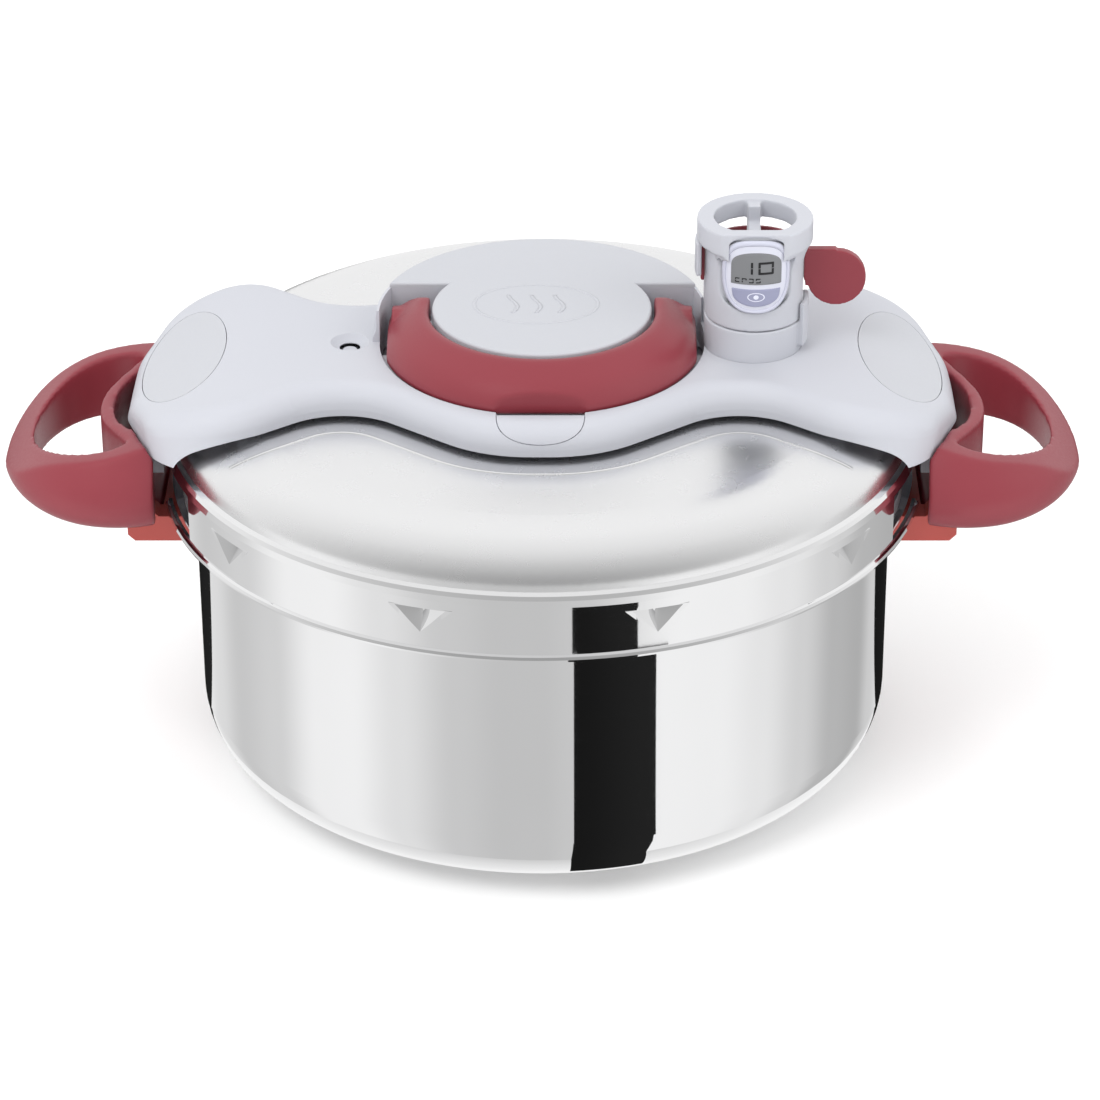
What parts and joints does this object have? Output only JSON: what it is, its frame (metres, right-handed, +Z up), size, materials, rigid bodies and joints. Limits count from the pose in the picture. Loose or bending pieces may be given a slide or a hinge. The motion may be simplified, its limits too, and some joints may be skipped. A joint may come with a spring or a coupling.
{
  "type": "stovetop pressure cooker",
  "caption": "Stovetop pressure cooker with a steel pot, jaws that slide to clamp the lid, a lifting handle that drives them, folding side handles, a steam valve and a clip-on timer.",
  "frame": {"origin": "centre of the base's underside, on the surface it stands on", "axes": "+X along the bridge between the side handles, -Y to the front, +Z up"},
  "size_m": [0.376, 0.2658, 0.2],
  "materials": {
    "polished_steel": "polished stainless steel",
    "base_steel": "brushed capsule base",
    "brushed_lid": "satin stainless steel",
    "zinc_steel": "zinc plated steel",
    "white_plastic": "cool white satin moulding",
    "grey_cap": "light grey satin inlay",
    "red_plastic": "wine red satin moulding",
    "bracket_red": "orange red moulding",
    "gasket_rubber": "grey silicone",
    "bezel_plastic": "pale violet gloss",
    "clear_window": "clear window",
    "lcd_glass": "liquid crystal display",
    "board_green": "printed circuit board",
    "button_violet": "violet grey key",
    "brass_part": "turned brass"
  },
  "bodies": {
    "cooker": {"pot": "polished_steel", "pot_base_disc": "base_steel", "lid": "brushed_lid", "lid_gasket": "gasket_rubber", "lid_studs": "zinc_steel", "housing_upper": "white_plastic", "housing_lower": "white_plastic", "housing_screws": "zinc_steel", "right_end_cap": "grey_cap", "left_end_cap": "grey_cap", "centre_cap": "grey_cap", "button_spring": "zinc_steel", "valve_body": "zinc_steel", "valve_nut": "zinc_steel", "timer_cradle": "white_plastic", "indicator_seal": "gasket_rubber", "safety_valve_body": "brass_part", "right_handle_bracket": "bracket_red", "left_handle_bracket": "bracket_red", "bracket_screws": "zinc_steel", "handle_hinge_pins": "zinc_steel"},
    "front_jaw_set": {"front_jaw": "polished_steel", "front_slide": "zinc_steel", "front_slide_rivets": "zinc_steel"},
    "rear_jaw_set": {"rear_jaw": "polished_steel", "rear_slide": "zinc_steel", "rear_slide_rivets": "zinc_steel"},
    "opening_handle_set": {"opening_handle": "red_plastic", "right_pinion": "zinc_steel", "left_pinion": "zinc_steel"},
    "unlock_button_set": {"unlock_button": "white_plastic"},
    "selector": {"selector_lever": "red_plastic"},
    "timer": {"timer_case": "white_plastic", "timer_bezel": "bezel_plastic", "timer_window": "clear_window", "timer_lcd": "lcd_glass", "timer_board": "board_green", "timer_buzzer": "brass_part", "timer_cell": "zinc_steel", "timer_battery_cover": "grey_cap"},
    "timer_key": {"timer_button": "button_violet"},
    "indicator": {"indicator_pin": "white_plastic"},
    "safety_plunger": {"safety_valve_plunger": "brass_part"},
    "right_grip": {"right_side_handle": "red_plastic"},
    "left_grip": {"left_side_handle": "red_plastic"}
  },
  "joints": [
    {"name": "opening_handle_lift", "type": "hinge", "parent": "cooker", "child": "opening_handle_set", "pos_m": [0, 0.006, 0.1535], "axis": [-1, 0, 0], "range_deg": [0, 90]},
    {"name": "front_jaw_slide", "type": "slide", "parent": "cooker", "child": "front_jaw_set", "axis": [0, -1, 0], "range_m": [0, 0.0119]},
    {"name": "rear_jaw_slide", "type": "slide", "parent": "cooker", "child": "rear_jaw_set", "axis": [0, 1, 0], "range_m": [0, 0.0119]},
    {"name": "unlock_button_press", "type": "slide", "parent": "cooker", "child": "unlock_button_set", "axis": [0, 1, 0], "range_m": [0, 0.0025], "stiffness_N_per_m": 300, "springref_m": -0.001, "deforming": ["button_spring"]},
    {"name": "selector_turn", "type": "hinge", "parent": "cooker", "child": "selector", "pos_m": [0.0728, 0, 0.166], "axis": [0, 0, 1], "range_deg": [0, 35]},
    {"name": "timer_lift", "type": "slide", "parent": "cooker", "child": "timer", "axis": [0, 0, 1], "range_m": [0, 0.045]},
    {"name": "timer_key_press", "type": "slide", "parent": "timer", "child": "timer_key", "axis": [0, 1, 0], "range_m": [0, 0.0005], "stiffness_N_per_m": 500, "springref_m": -0.0005},
    {"name": "pressure_pin_rise", "type": "slide", "parent": "cooker", "child": "indicator", "axis": [0, 0, 1], "range_m": [0, 0.004]},
    {"name": "safety_valve_rise", "type": "slide", "parent": "cooker", "child": "safety_plunger", "axis": [0, 0, 1], "range_m": [0, 0.002], "stiffness_N_per_m": 2000, "springref_m": -0.001},
    {"name": "right_handle_fold", "type": "hinge", "parent": "cooker", "child": "right_grip", "pos_m": [0.1375, 0, 0.0965], "axis": [0, 1, 0], "range_deg": [0, 90]},
    {"name": "left_handle_fold", "type": "hinge", "parent": "cooker", "child": "left_grip", "pos_m": [-0.1375, 0, 0.0965], "axis": [0, -1, 0], "range_deg": [0, 90]}
  ],
  "couplings": [
    {"joint": "front_jaw_slide", "follows": "opening_handle_lift", "m_per_rad": 0.0075},
    {"joint": "rear_jaw_slide", "follows": "opening_handle_lift", "m_per_rad": 0.0075}
  ]
}
